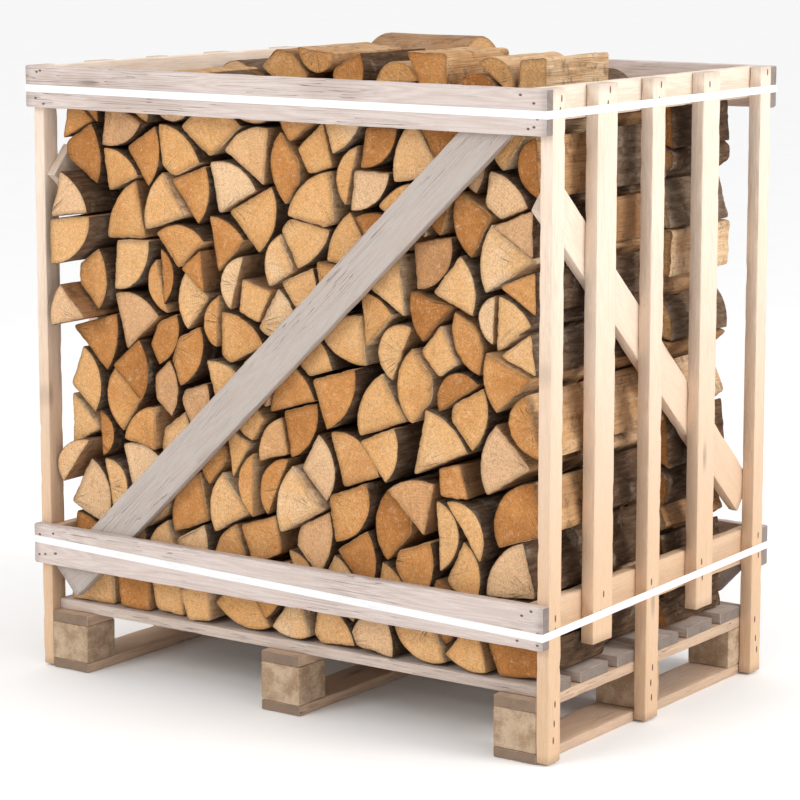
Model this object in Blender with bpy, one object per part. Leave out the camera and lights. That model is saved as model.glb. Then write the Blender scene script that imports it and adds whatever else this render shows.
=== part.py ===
"""Pallet of split firewood: a block pallet, a nailed timber crate, two plastic straps and the stacked logs.

The origin is the middle of the pallet on the floor. +X runs to the right along the long front side,
+Y runs to the back and +Z is up. Lengths are in metres.
"""
import math
import random

import bmesh
import bpy
import numpy as np

# Whole crate
CRATE_WIDTH = 1.250          # over the outer faces of the corner posts, along X
CRATE_DEPTH = 0.864          # over the front and back boards, along Y
CRATE_HEIGHT = 1.255         # floor to the top of the posts, rails and boards
FIT = 0.0003                 # clearance between pieces that touch

# Pallet
SKID_THICKNESS = 0.020
BLOCK_HEIGHT = 0.078
BLOCK_WIDTH = 0.095          # along X
BLOCK_DEPTH = 0.086          # along Y
STRINGER_THICKNESS = 0.022
DECK_THICKNESS = 0.022
DECK_BOARD_WIDTH = 0.100
DECK_BOARD_COUNT = 6
DECK_SETBACK = 0.022         # from the stringer ends to the edge of the first deck board

# Corner posts and slats of the two short sides
POST_THICKNESS = 0.027       # along X, also of the slats
POST_WIDTH = 0.042           # along Y
POST_FOOT = 0.004            # floor to the feet of the posts
# Each slat: name, front edge behind the crate's front, width, foot above the floor
SIDE_SLATS = (
    ("front_slat", 0.177, 0.070, 0.200),
    ("middle_slat", 0.375, 0.048, POST_FOOT),
    ("rear_slat", 0.568, 0.066, 0.187),
)

# Rails and braces inside the posts and slats of the short sides
RAIL_THICKNESS = 0.022
TOP_RAIL_HEIGHT = 0.062
BOTTOM_RAIL_FOOT = 0.232
BOTTOM_RAIL_HEIGHT = 0.073
SIDE_BRACE_WIDTH = 0.080
SIDE_BRACE_DROP = 0.193      # from the top of the crate to the brace's middle line at its front end
SIDE_BRACE_BOTTOM = 0.376    # height of the middle line at its rear end
SIDE_BRACE_INSET = 0.032     # from the rail ends to the ends of the middle line

# Boards and braces of the two long sides
BOARD_THICKNESS = 0.022
TOP_BOARD_HEIGHT = 0.085
BOTTOM_BOARD_FOOT = 0.224
BOTTOM_BOARD_HEIGHT = 0.083
BRACE_THICKNESS = 0.022
BRACE_WIDTH = 0.080
BRACE_LOW_INSET = 0.039      # from the left side, seen from outside, to the lower end of its upper edge
BRACE_LOW_HEIGHT = 0.217     # height of that end
BRACE_HIGH_INSET = 0.1325    # from the right side to the upper end of that edge
BRACE_HIGH_DROP = 0.018      # from the top of the crate to that end

# Straps
STRAP_WIDTH = 0.015
STRAP_THICKNESS = 0.0008
STRAP_CORNER = 0.0008       # inner radius at the corners of the crate
TOP_STRAP_DROP = 0.046       # from the top of the crate to the middle of the strap
BOTTOM_STRAP_HEIGHT = 0.2705  # its middle line, half way along each side
BOTTOM_STRAP_FALL = 0.025    # how much lower it lies at the right end than at the left end
BOTTOM_STRAP_RISE = 0.016    # how much higher it lies at the back than at the front

# Logs
LOG_SEED = 11
LOG_SCALE = 0.93             # 1 makes quarter logs of about 112 mm radius
LOG_GAP = 0.0012             # least gap between two logs
CELL = 0.0025                # step of the heights that the stack is laid with
ARC_STEP = 0.40              # longest arc of bark between two corners, in radians
RIM_STEPS = 96               # points along each edge when its heights are taken
SHELF_SIZE = 420             # logs that each place is filled from
FINALISTS = 50               # of which this many are tried for the least waste
SLOT = 0.020                 # a valley narrower than this takes no log
TOP_HOLLOW = 0.035           # the stack is full when its lowest place is this far below its top
PERCH_COST = 11.0            # cost of each metre that a log rests above the lowest place
OVER_COST = 200.0            # cost of each metre that it reaches above the top
FIT_SHARE = 0.6              # share of these costs when the least waste is sought
STACK_SIDE_GAP = 0.004       # between the stack and the side rails
STACK_TOP_DROP = 0.035       # from the top of the crate to the top of the full stack
LOG_FRONT_GAP = 0.003        # between the front brace and the nearest log ends
LOG_END_SPREAD = 0.013       # how far the log ends differ
PROUD_SHARE = 0.30           # share of the logs that stand proud at the front, where the brace leaves room
PROUD_MOST = 0.019           # how far most of them do
BOLD_SHARE = 0.05            # share that may stand out between the boards
BOLD_MOST = 0.040
BRACE_ROOM = 0.006           # between the front brace and a log that stands proud
STACK_REAR_GAP = 0.034       # between the last row and the back brace
ROW_JOINT = 0.003            # between two rows of logs
ROW_COUNT = 3
LAYER_COUNT = 11
BRIDGE_REACH = 0.020         # widest gap that joins two logs of a layer
BRIDGE_THICKNESS = 0.008
FACING_SPREAD = 0.0015       # points this much further apart than the closest still face each other
BRIDGE_MARGIN = 0.0015       # least room between a bridge and any other log
BRIDGE_ROOT = 0.008          # how far a bridge goes into each log
BRIDGE_INSET = 0.030         # from the log ends, so that the gaps are cut into the layer's faces
BRIDGE_STAGGER = 0.0013      # each bridge starts this much further in, so that no two end in one plane
BRIDGE_CLEARANCE = 0.004     # between two bridges
BRIDGE_SAMPLES = 7           # points along a bridge when its clearance is measured

# Heap on the middle row, and one log laid crossways on the back row
HEAP_LEFT = -0.27
HEAP_RIGHT = 0.44
HEAP_LOG_COUNT = 8
HEAP_LAYER_COUNT = 1
HEAP_RISE = 0.040            # above the crate
CROSS_LOG_LEFT = -0.180
CROSS_LOG_SETBACK = 0.020    # from the front end of the back row
CROSS_LOG_RADIUS = 0.098

WEATHERED = (0.55, 0.47, 0.42)
FRESH = (0.80, 0.62, 0.45)
BLOCK_BROWN = (0.42, 0.30, 0.20)
LOG_ORANGE = (0.62, 0.34, 0.14)
STRAP_WHITE = (0.90, 0.90, 0.90)


def finish(name, colour, roughness):
    """A Principled material for one kind of piece."""
    material = bpy.data.materials.new(name)
    material.use_nodes = True
    shader = material.node_tree.nodes["Principled BSDF"]
    shader.inputs["Base Color"].default_value = (*colour, 1.0)
    shader.inputs["Roughness"].default_value = roughness
    shader.inputs["Metallic"].default_value = 0.0
    return material


def place(name, mesh, location, colour, roughness=0.8):
    """An object for a mesh, with a material of its own."""
    thing = bpy.data.objects.new(name, mesh)
    bpy.context.scene.collection.objects.link(thing)
    thing.location = location
    mesh.materials.append(finish(name + "_finish", colour, roughness))
    return thing


def timber(name, low, high, colour):
    """A sawn piece that fills the box from one corner to the other."""
    size = [b - a for a, b in zip(low, high)]
    middle = [(a + b) / 2 for a, b in zip(low, high)]
    mesh = bpy.data.meshes.new(name)
    shape = bmesh.new()
    bmesh.ops.create_cube(shape, size=1.0)
    bmesh.ops.scale(shape, vec=size, verts=shape.verts)
    shape.to_mesh(mesh)
    shape.free()
    return place(name, mesh, middle, colour)


def slanted_timber(name, start, end, width, thickness, depth_axis, depth, colour):
    """A brace between two points of a wall; depth_axis says which way the wall faces."""
    run = end[0] - start[0]
    rise = end[1] - start[1]
    length = math.hypot(run, rise)
    tilt = math.atan2(rise, run)
    middle = ((start[0] + end[0]) / 2, (start[1] + end[1]) / 2)
    if depth_axis == "Y":
        size = (length, thickness, width)
        location = (middle[0], depth, middle[1])
        rotation = (0.0, -tilt, 0.0)
    else:
        size = (thickness, length, width)
        location = (depth, middle[0], middle[1])
        rotation = (tilt, 0.0, 0.0)
    brace = timber(name, [-s / 2 for s in size], [s / 2 for s in size], colour)
    brace.location = location
    brace.rotation_euler = rotation
    return brace


def build_pallet(post_inner_x, post_outer_y):
    """Skids, blocks and stringers run front to back, deck boards across them."""
    half_x = post_inner_x - FIT
    half_y = post_outer_y
    skid_top = SKID_THICKNESS
    block_low = skid_top + FIT
    block_top = block_low + BLOCK_HEIGHT
    stringer_low = block_top + FIT
    stringer_top = stringer_low + STRINGER_THICKNESS
    deck_low = stringer_top + FIT
    deck_top = deck_low + DECK_THICKNESS
    columns = {"left": -half_x + BLOCK_WIDTH / 2, "centre": 0.0, "right": half_x - BLOCK_WIDTH / 2}
    rows = {"front": -half_y + BLOCK_DEPTH / 2, "middle": 0.0, "rear": half_y - BLOCK_DEPTH / 2}
    for side, x in columns.items():
        left, right = x - BLOCK_WIDTH / 2, x + BLOCK_WIDTH / 2
        timber("skid_" + side, (left, -half_y, 0.0), (right, half_y, skid_top), BLOCK_BROWN)
        timber("stringer_" + side, (left, -half_y, stringer_low), (right, half_y, stringer_top), WEATHERED)
        for row, y in rows.items():
            timber("block_%s_%s" % (side, row),
                   (left, y - BLOCK_DEPTH / 2, block_low), (right, y + BLOCK_DEPTH / 2, block_top),
                   BLOCK_BROWN)
    first = -half_y + DECK_SETBACK
    pitch = (2 * (half_y - DECK_SETBACK) - DECK_BOARD_WIDTH) / (DECK_BOARD_COUNT - 1)
    for number in range(DECK_BOARD_COUNT):
        y = first + number * pitch
        timber("deck_board_%d" % (number + 1),
               (-half_x, y, deck_low), (half_x, y + DECK_BOARD_WIDTH, deck_top), WEATHERED)
    return deck_top


def build_short_side(side, sign, post_outer_y):
    """Two posts and three slats outside, two rails and a brace behind them."""
    outer = CRATE_WIDTH / 2
    inner = outer - POST_THICKNESS
    rail_outer = inner - FIT
    rail_inner = rail_outer - RAIL_THICKNESS

    def span(a, b):
        return min(sign * a, sign * b), max(sign * a, sign * b)

    post_x = span(inner, outer)
    rail_x = span(rail_inner, rail_outer)
    uprights = [("front_post", -post_outer_y, POST_WIDTH, POST_FOOT),
                ("rear_post", post_outer_y - POST_WIDTH, POST_WIDTH, POST_FOOT)]
    for name, setback, width, foot in SIDE_SLATS:
        uprights.append((name, setback - CRATE_DEPTH / 2, width, foot))
    for name, y, width, foot in uprights:
        timber("%s_%s" % (side, name), (post_x[0], y, foot), (post_x[1], y + width, CRATE_HEIGHT), FRESH)
    rails = (("top_rail", CRATE_HEIGHT - TOP_RAIL_HEIGHT, TOP_RAIL_HEIGHT),
             ("bottom_rail", BOTTOM_RAIL_FOOT, BOTTOM_RAIL_HEIGHT))
    for name, foot, height in rails:
        timber("%s_%s" % (side, name), (rail_x[0], -post_outer_y, foot),
               (rail_x[1], post_outer_y, foot + height), FRESH)
    brace_end = post_outer_y - SIDE_BRACE_INSET
    slanted_timber("%s_brace" % side,
                   (-brace_end, CRATE_HEIGHT - SIDE_BRACE_DROP), (brace_end, SIDE_BRACE_BOTTOM),
                   SIDE_BRACE_WIDTH, RAIL_THICKNESS, "X", sum(rail_x) / 2, FRESH)
    return rail_inner


def brace_ends():
    """The lower and upper end of a long side's brace, X and Z of its middle line, seen from outside."""
    low = np.array((BRACE_LOW_INSET - CRATE_WIDTH / 2, BRACE_LOW_HEIGHT))
    high = np.array((CRATE_WIDTH / 2 - BRACE_HIGH_INSET, CRATE_HEIGHT - BRACE_HIGH_DROP))
    along = (high - low) / np.linalg.norm(high - low)
    down = np.array((along[1], -along[0])) * BRACE_WIDTH / 2
    return low + down, high + down


def build_long_side(side, sign, post_outer_y):
    """Two boards over the posts and a brace behind the boards."""
    half_x = CRATE_WIDTH / 2
    board_inner = post_outer_y + FIT
    board_outer = board_inner + BOARD_THICKNESS
    board_y = (min(sign * board_inner, sign * board_outer), max(sign * board_inner, sign * board_outer))
    boards = (("top_board", CRATE_HEIGHT - TOP_BOARD_HEIGHT, TOP_BOARD_HEIGHT),
              ("bottom_board", BOTTOM_BOARD_FOOT, BOTTOM_BOARD_HEIGHT))
    for name, foot, height in boards:
        timber("%s_%s" % (side, name),
               (-half_x, board_y[0], foot), (half_x, board_y[1], foot + height), WEATHERED)
    depth = sign * (post_outer_y - BRACE_THICKNESS / 2)
    low, high = ((-sign * x, z) for x, z in brace_ends())
    slanted_timber("%s_brace" % side, low, high, BRACE_WIDTH, BRACE_THICKNESS, "Y", depth, WEATHERED)
    return post_outer_y - BRACE_THICKNESS


def rounded_rectangle(half_x, half_y, radius, corner_steps=3):
    """Points round a rectangle with rounded corners, anticlockwise."""
    points = []
    for quarter, (sx, sy) in enumerate(((1, 1), (-1, 1), (-1, -1), (1, -1))):
        for step in range(corner_steps + 1):
            turn = (quarter + step / corner_steps) * math.pi / 2
            points.append((sx * (half_x - radius) + radius * math.cos(turn),
                           sy * (half_y - radius) + radius * math.sin(turn)))
    return points


def build_strap(name, height, fall=0.0, rise=0.0):
    """A flat strap pulled tight round the outside of the crate, level or askew."""
    half_x = CRATE_WIDTH / 2 + FIT
    half_y = CRATE_DEPTH / 2 + FIT
    inner = rounded_rectangle(half_x, half_y, STRAP_CORNER)
    outer = rounded_rectangle(half_x + STRAP_THICKNESS, half_y + STRAP_THICKNESS,
                              STRAP_CORNER + STRAP_THICKNESS)
    count = len(inner)
    corners = [(x, y, z + rise * y / CRATE_DEPTH - fall * x / CRATE_WIDTH)
               for z in (-STRAP_WIDTH / 2, STRAP_WIDTH / 2) for x, y in inner + outer]
    faces = []
    for k in range(count):
        n = (k + 1) % count
        in_low, in_low_next = k, n
        out_low, out_low_next = count + k, count + n
        in_top, in_top_next = 2 * count + k, 2 * count + n
        out_top, out_top_next = 3 * count + k, 3 * count + n
        faces.append((out_low, out_low_next, out_top_next, out_top))
        faces.append((in_low_next, in_low, in_top, in_top_next))
        faces.append((in_top, out_top, out_top_next, in_top_next))
        faces.append((in_low_next, out_low_next, out_low, in_low))
    mesh = bpy.data.meshes.new(name)
    mesh.from_pydata(corners, [], faces)
    place(name, mesh, (0.0, 0.0, height), STRAP_WHITE, 0.35)


def log_outline(kind, radius, angle, blunt, skew):
    """Corners of a split log's end about its centroid, anticlockwise, and its area."""
    steps = max(2, math.ceil(angle / ARC_STEP))
    arc = [(radius * math.cos(angle * (i / steps - 0.5)), radius * math.sin(angle * (i / steps - 0.5)))
           for i in range(steps + 1)]
    if kind == "wedge":
        points = arc + [(0.0, 0.0)]
    elif kind == "blunt":
        points = arc + [(arc[-1][0] * blunt, arc[-1][1] * blunt), (arc[0][0] * blunt, arc[0][1] * blunt)]
    elif kind == "half":
        points = arc
    else:
        turns = {"triangle": (0.25, 0.95, 1.60), "heart": (0.16, 0.66, 1.10, 1.68)}[kind]
        points = []
        for k, turn in enumerate(turns):
            direction = turn * math.pi + skew * (0.35 if k % 2 else -0.25)
            reach = radius * (0.62 + 0.16 * math.cos(5.1 * k + 9.0 * skew))
            points.append((reach * math.cos(direction), reach * math.sin(direction)))
    corners = np.array([(x + 0.5 * skew * z, z) for x, z in points])
    after = np.roll(corners, -1, axis=0)
    cross = corners[:, 0] * after[:, 1] - after[:, 0] * corners[:, 1]
    area = cross.sum() / 2
    centroid = ((corners + after) * cross[:, None]).sum(axis=0) / (6 * area)
    return corners - centroid, area


def height_profiles(corners):
    """Lowest and highest point of the outline over each cell of X, with a cell to spare at both ends."""
    after = np.roll(corners, -1, axis=0)
    steps = np.linspace(0.0, 1.0, RIM_STEPS, endpoint=False)[:, None, None]
    rim = (corners + (after - corners) * steps).reshape(-1, 2)
    cell = np.floor((rim[:, 0] - corners[:, 0].min()) / CELL + 1e-6).astype(int) + 1
    low = np.full(cell.max() + 2, 9.0)
    high = np.full(cell.max() + 2, -9.0)
    np.minimum.at(low, cell, rim[:, 1])
    np.maximum.at(high, cell, rim[:, 1])
    low[0], low[-1] = low[1], low[-2]
    high[0], high[-1] = high[1], high[-2]
    return low, high


def random_log(rng):
    """A split log: quarter wedges, blunt wedges, half rounds and heartwood pieces, turned any way."""
    kind = rng.choices(("wedge", "blunt", "half", "triangle", "heart"), (40, 20, 20, 10, 10))[0]
    skew = rng.uniform(-0.35, 0.35)
    blunt = rng.uniform(0.20, 0.42)
    if kind in ("wedge", "blunt"):
        angle = rng.uniform(0.90, 1.85)
        radius = 0.112 * math.sqrt(1.35 / angle) * rng.uniform(0.80, 1.12)
    elif kind == "half":
        angle = rng.uniform(2.1, 3.1)
        radius = rng.uniform(0.055, 0.068) * (1.25 if angle < 2.5 else 1.0)
        skew *= 0.4
    else:
        angle = 1.0
        radius = rng.uniform(0.075, 0.105)
    corners, area = log_outline(kind, radius * LOG_SCALE, angle, blunt, skew)
    turn = rng.uniform(0.0, 2 * math.pi)
    cos, sin = math.cos(turn), math.sin(turn)
    corners = corners @ np.array(((cos, sin), (-sin, cos)))
    low, high = height_profiles(corners)
    boldness = rng.random()
    proud = rng.uniform(0.3, 1.0)
    if boldness < BOLD_SHARE:
        proud *= BOLD_MOST
    elif boldness < PROUD_SHARE:
        proud *= PROUD_MOST
    else:
        proud = 0.0
    return {"corners": corners, "area": area, "low": low, "high": high, "proud": proud,
            "front": rng.uniform(0.0, LOG_END_SPREAD), "back": rng.uniform(0.0, LOG_END_SPREAD)}


def fill_slots(heights):
    """Heights with every valley filled that is too narrow for a log."""
    reach = int(SLOT / CELL)
    padded = np.pad(heights, reach, mode="edge")
    window = np.lib.stride_tricks.sliding_window_view
    opened = window(padded, reach + 1).max(axis=1)
    return window(opened, reach + 1).min(axis=1)


def lay_stack(rng, ground, left, top, most=1000):
    """Lay logs in the lowest place, one after another, each the one that wastes least room."""
    sky = ground.copy()
    cells = len(sky)
    window = np.lib.stride_tricks.sliding_window_view
    shelf = [random_log(rng) for _ in range(SHELF_SIZE)]
    laid = []
    while sky.min() < top - TOP_HOLLOW and len(laid) < most:
        lowest = int(np.argmin(sky))
        tries = []
        for number, log in enumerate(shelf):
            low, high = log["low"], log["high"]
            room = cells - len(low)
            first = min(max(0, lowest - len(low) + 2), room)
            last = max(first, min(room, lowest - 1))
            under = window(sky[first:last + len(low)], len(low))
            rest = (under - low).max(axis=1) + LOG_GAP
            trapped = (rest[:, None] + low - under).sum(axis=1) * CELL / log["area"]
            perch = (rest + low.min() - sky[lowest]) * PERCH_COST
            over = np.maximum(0.0, rest + high.max() - top) * OVER_COST
            score = trapped + perch + over
            best = int(np.argmin(score))
            tries.append((float(score[best]), number, first + best, float(rest[best])))
        tries.sort()
        chosen = None
        for score, number, start, rest in tries[:FINALISTS]:
            log = shelf[number]
            end = start + len(log["low"])
            after = sky.copy()
            after[start:end] = np.maximum(after[start:end], rest + log["high"])
            after = fill_slots(after)
            waste = (after.sum() - sky.sum()) * CELL / log["area"] - 1.0
            total = waste + FIT_SHARE * score
            if chosen is None or total < chosen[0]:
                chosen = (total, number, start, rest, after)
        _, number, start, rest, sky = chosen
        log = shelf[number]
        shift = (left + (start + 1) * CELL - log["corners"][:, 0].min(), rest)
        laid.append(dict(log, corners=log["corners"] + shift))
        shelf[number] = random_log(rng)
    return laid, sky


def rim_points(corners, spacing=0.002):
    """Points along an outline."""
    rim = []
    for a, b in zip(corners, np.roll(corners, -1, axis=0)):
        steps = max(1, int(np.linalg.norm(b - a) / spacing))
        rim.extend(a + (b - a) * k / steps for k in range(steps))
    return np.array(rim)


def find_bridges(logs, floor):
    """Where two neighbouring logs can be joined clear of a third and of the floor: (i, j, from, to)."""
    rims = [rim_points(log["corners"]) for log in logs]
    lows = np.array([log["corners"].min(axis=0) for log in logs])
    highs = np.array([log["corners"].max(axis=0) for log in logs])
    near = [set(np.flatnonzero(np.all((lows - BRIDGE_REACH < high) & (highs + BRIDGE_REACH > low), axis=1)))
            for low, high in zip(lows, highs)]
    bridges = []
    for i in range(len(logs)):
        for j in sorted(near[i]):
            apart = np.linalg.norm(rims[i][:, None] - rims[j][None], axis=2)
            least = apart.min()
            if j <= i or least > BRIDGE_REACH:
                continue
            close_i, close_j = np.nonzero(apart < least + FACING_SPREAD)
            start = rims[i][close_i].mean(axis=0)
            end = rims[j][close_j].mean(axis=0)
            if min(start[1], end[1]) < floor + BRIDGE_THICKNESS + BRIDGE_MARGIN:
                continue
            length = np.linalg.norm(end - start)
            along = (end - start) / length
            across = np.array((-along[1], along[0]))
            others = [rims[k] for k in (near[i] | near[j]) - {i, j}]
            if others:
                offsets = np.concatenate(others) - start
                ahead, aside = offsets @ along, np.abs(offsets @ across)
                hit = ((ahead > -BRIDGE_ROOT - BRIDGE_MARGIN) & (ahead < length + BRIDGE_ROOT + BRIDGE_MARGIN)
                       & (aside < BRIDGE_THICKNESS / 2 + BRIDGE_MARGIN))
                if hit.any():
                    continue
            bridges.append((i, j, start, end))
    return bridges


def bridges_clear(one, other):
    """Whether two bridges stay apart."""
    steps = np.linspace(0.0, 1.0, BRIDGE_SAMPLES)[:, None]
    lines = []
    for _, _, start, end in (one, other):
        root = (end - start) / np.linalg.norm(end - start) * BRIDGE_ROOT
        lines.append(start - root + (end - start + 2 * root) * steps)
    apart = np.linalg.norm(lines[0][:, None] - lines[1][None], axis=2)
    return apart.min() > BRIDGE_THICKNESS + BRIDGE_CLEARANCE


def group_layers(logs, members, bridges, count):
    """Join neighbouring logs into flat layers; returns the logs and bridges of each, and the bridges left."""
    height = {k: logs[k]["corners"][:, 1].mean() for k in members}
    layer_of = {k: k for k in members}
    span = {k: (height[k], height[k]) for k in members}
    used = []
    while len(span) > count:
        flattest = None
        for bridge in bridges:
            a, b = layer_of.get(bridge[0]), layer_of.get(bridge[1])
            if a is None or b is None or a == b:
                continue
            low, high = min(span[a][0], span[b][0]), max(span[a][1], span[b][1])
            if flattest is None or high - low < flattest[0]:
                flattest = (high - low, a, b, (low, high), bridge)
        if flattest is None:
            break
        _, a, b, span[a], bridge = flattest
        del span[b]
        layer_of = {k: a if layer == b else layer for k, layer in layer_of.items()}
        used.append(bridge)
        bridges = [other for other in bridges if other is not bridge and bridges_clear(bridge, other)]
    layers = []
    for layer in sorted(span, key=lambda layer: sum(span[layer])):
        joins = [(start, end) for i, _, start, end in used if layer_of[i] == layer]
        layers.append(([logs[k] for k in members if layer_of[k] == layer], joins))
    return layers, bridges


def prisms(name, outlines):
    """A mesh of upright outlines, each (corners in X and Z, front Y, back Y)."""
    vertices = []
    faces = []
    for corners, front, back in outlines:
        start = len(vertices)
        n = len(corners)
        vertices.extend((x, front, z) for x, z in corners)
        vertices.extend((x, back, z) for x, z in corners)
        faces.append(tuple(start + k for k in range(n)))
        faces.append(tuple(start + n + k for k in reversed(range(n))))
        for k in range(n):
            after = (k + 1) % n
            faces.append((start + k, start + n + k, start + n + after, start + after))
    mesh = bpy.data.meshes.new(name)
    mesh.from_pydata(vertices, [], faces)
    return mesh


def build_layer(name, logs, joins, front, back):
    """One layer of logs: their prisms, joined by short bridges well behind the ends."""
    outlines = [(log["corners"], front + log["front"] - log["proud"], back - log["back"]) for log in logs]
    layer = place(name, prisms(name, outlines), (0.0, 0.0, 0.0), LOG_ORANGE)
    bars = []
    for start, end in joins:
        along = (end - start) / np.linalg.norm(end - start)
        across = np.array((-along[1], along[0])) * BRIDGE_THICKNESS / 2
        a, b = start - along * BRIDGE_ROOT, end + along * BRIDGE_ROOT
        inset = BRIDGE_INSET + BRIDGE_STAGGER * len(bars)
        bars.append(((a - across, b - across, b + across, a + across), front + inset, back - inset))
    if bars:
        cutter = place(name + "_bridges", prisms(name + "_bridges", bars), (0.0, 0.0, 0.0), LOG_ORANGE)
        cutter.hide_render = True
        cutter.display_type = "WIRE"
        union = layer.modifiers.new("join", "BOOLEAN")
        union.operation = "UNION"
        union.solver = "EXACT"
        union.use_self = True
        union.object = cutter


def hold_back(logs):
    """Logs that would meet the front brace or a board if they stood proud, pushed back in line."""
    start, end = brace_ends()
    along = (end - start) / np.linalg.norm(end - start)
    across = np.array((-along[1], along[0]))
    low_limit = BOTTOM_BOARD_FOOT + BOTTOM_BOARD_HEIGHT + BRACE_ROOM
    high_limit = CRATE_HEIGHT - TOP_BOARD_HEIGHT - BRACE_ROOM
    for log in logs:
        aside = (log["corners"] - start) @ across
        clear = max(aside.min(), -aside.max()) > BRACE_WIDTH / 2 + BRACE_ROOM
        between = log["corners"][:, 1].min() > low_limit and log["corners"][:, 1].max() < high_limit
        if not clear:
            log["proud"] = 0.0
        elif not between:
            log["proud"] = min(log["proud"], PROUD_MOST)


def build_cross_log(sky, left, front, length):
    """A quarter log that lies across the back row, bark up."""
    end = CROSS_LOG_LEFT + length
    sky = np.maximum(sky, sky[::-1])
    under = sky[int((CROSS_LOG_LEFT - left) / CELL):int((end - left) / CELL) + 1]
    corners, _ = log_outline("blunt", CROSS_LOG_RADIUS, 1.75, 0.35, 0.1)
    foot = under.max() + LOG_GAP
    outline = [(-z, x) for x, z in corners]
    lowest = min(z for _, z in outline)
    near = min(y for y, _ in outline)
    y, z = front + CROSS_LOG_SETBACK - near, foot - lowest
    log = place("crossways_log", prisms("crossways_log", [(outline, -length / 2, length / 2)]),
                (CROSS_LOG_LEFT + length / 2, y, z), LOG_ORANGE)
    log.rotation_euler = (0.0, 0.0, math.pi / 2)


def build_logs(deck_top, rail_inner, brace_inner):
    """The full stack, a lower heap on its middle row and a log across its back row."""
    rng = random.Random(LOG_SEED)
    left = -rail_inner + STACK_SIDE_GAP
    cells = int(2 * -left / CELL)
    ground = np.full(cells, deck_top)
    stack, sky = lay_stack(rng, ground, left, CRATE_HEIGHT - STACK_TOP_DROP)
    front = -brace_inner + LOG_FRONT_GAP
    row_pitch = (brace_inner - STACK_REAR_GAP - front + ROW_JOINT) / ROW_COUNT
    log_length = row_pitch - ROW_JOINT
    first = int((HEAP_LEFT - left) / CELL)
    last = int((HEAP_RIGHT - left) / CELL)
    heap, _ = lay_stack(rng, sky[first:last], left + first * CELL, CRATE_HEIGHT + HEAP_RISE, HEAP_LOG_COUNT)
    hold_back(stack)
    for log in heap:
        log["proud"] = 0.0
    logs = stack + heap
    bridges = find_bridges(logs, deck_top)
    kinds = (("log_layer", range(len(stack)), LAYER_COUNT, front, ROW_COUNT * row_pitch - ROW_JOINT),
             ("log_heap", range(len(stack), len(logs)), HEAP_LAYER_COUNT, front + row_pitch, log_length))
    for kind, members, count, kind_front, depth in kinds:
        layers, bridges = group_layers(logs, members, bridges, count)
        for number, (own_logs, joins) in enumerate(layers):
            build_layer("%s_%02d" % (kind, number + 1), own_logs, joins, kind_front, kind_front + depth)
    build_cross_log(sky, left, front + (ROW_COUNT - 1) * row_pitch, log_length)


def build():
    """The whole pallet of firewood."""
    for thing in list(bpy.data.objects):
        bpy.data.objects.remove(thing, do_unlink=True)
    post_outer_y = CRATE_DEPTH / 2 - BOARD_THICKNESS - FIT
    deck_top = build_pallet(CRATE_WIDTH / 2 - POST_THICKNESS, post_outer_y)
    for side, sign in (("left", -1), ("right", 1)):
        rail_inner = build_short_side(side, sign, post_outer_y)
    for side, sign in (("front", -1), ("back", 1)):
        brace_inner = build_long_side(side, sign, post_outer_y)
    build_strap("top_strap", CRATE_HEIGHT - TOP_STRAP_DROP)
    build_strap("bottom_strap", BOTTOM_STRAP_HEIGHT, BOTTOM_STRAP_FALL, BOTTOM_STRAP_RISE)
    build_logs(deck_top, rail_inner, brace_inner)


build()
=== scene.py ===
"""Looks of the pallet of firewood: split logs, sawn crate and pallet timber, nails, straps and a studio stage.

Every length is in metres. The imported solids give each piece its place: a timber grows a worn, bevelled
body from the solid's own corners, and each log grows from the outline of its own end face.
"""
import math
import random

import bpy
import numpy as np
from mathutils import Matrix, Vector


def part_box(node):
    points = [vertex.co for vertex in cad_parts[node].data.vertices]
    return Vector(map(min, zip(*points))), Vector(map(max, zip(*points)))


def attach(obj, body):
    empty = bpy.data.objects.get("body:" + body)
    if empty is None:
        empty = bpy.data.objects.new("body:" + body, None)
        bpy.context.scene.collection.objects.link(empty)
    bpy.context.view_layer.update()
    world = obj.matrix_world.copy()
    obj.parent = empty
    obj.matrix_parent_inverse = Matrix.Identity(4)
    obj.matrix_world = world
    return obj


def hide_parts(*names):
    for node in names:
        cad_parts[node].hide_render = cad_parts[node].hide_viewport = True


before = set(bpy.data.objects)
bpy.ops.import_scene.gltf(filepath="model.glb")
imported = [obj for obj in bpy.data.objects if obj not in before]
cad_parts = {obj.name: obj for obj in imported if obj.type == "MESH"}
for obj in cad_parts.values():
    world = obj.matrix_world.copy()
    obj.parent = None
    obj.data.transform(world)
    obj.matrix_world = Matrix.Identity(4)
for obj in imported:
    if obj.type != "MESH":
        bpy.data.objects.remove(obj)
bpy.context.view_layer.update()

bl_info = {
    "name": "Pallet of Firewood",
    "version": (1, 0, 0),
    "blender": (4, 5, 0),
    "location": "3D View > Sidebar > Firewood",
    "description": "Split logs, crate, pallet, nails and straps around a packed frame",
    "category": "Add Mesh",
}

ROOT = "root"
ROW_COUNT = 3                # rows of logs from front to back
ROW_JOINT = 0.003
BRACE_GAP = 0.003            # between the front brace and the nearest log ends
END_REACH = 0.020            # a log end stands less than this behind its row's front
ROUND_TURN = 0.60            # an outline that turns less than this at a corner is bark there
PALLET_BLOCKS = [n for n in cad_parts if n.startswith("block_")]
PALLET_SKIDS = [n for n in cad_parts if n.startswith("skid_")]
PALLET_STRINGERS = [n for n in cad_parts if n.startswith("stringer_")]
DECK_BOARDS = [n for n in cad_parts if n.startswith("deck_board_")]
UPRIGHTS = [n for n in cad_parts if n.endswith(("_post", "_slat"))]
SIDE_RAILS = [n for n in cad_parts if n.endswith("_rail")] + ["left_brace", "right_brace"]
LONG_BOARDS = [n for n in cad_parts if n.endswith(("_top_board", "_bottom_board"))]
LONG_BRACES = ["front_brace", "back_brace"]
STRAPS = ["top_strap", "bottom_strap"]
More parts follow.
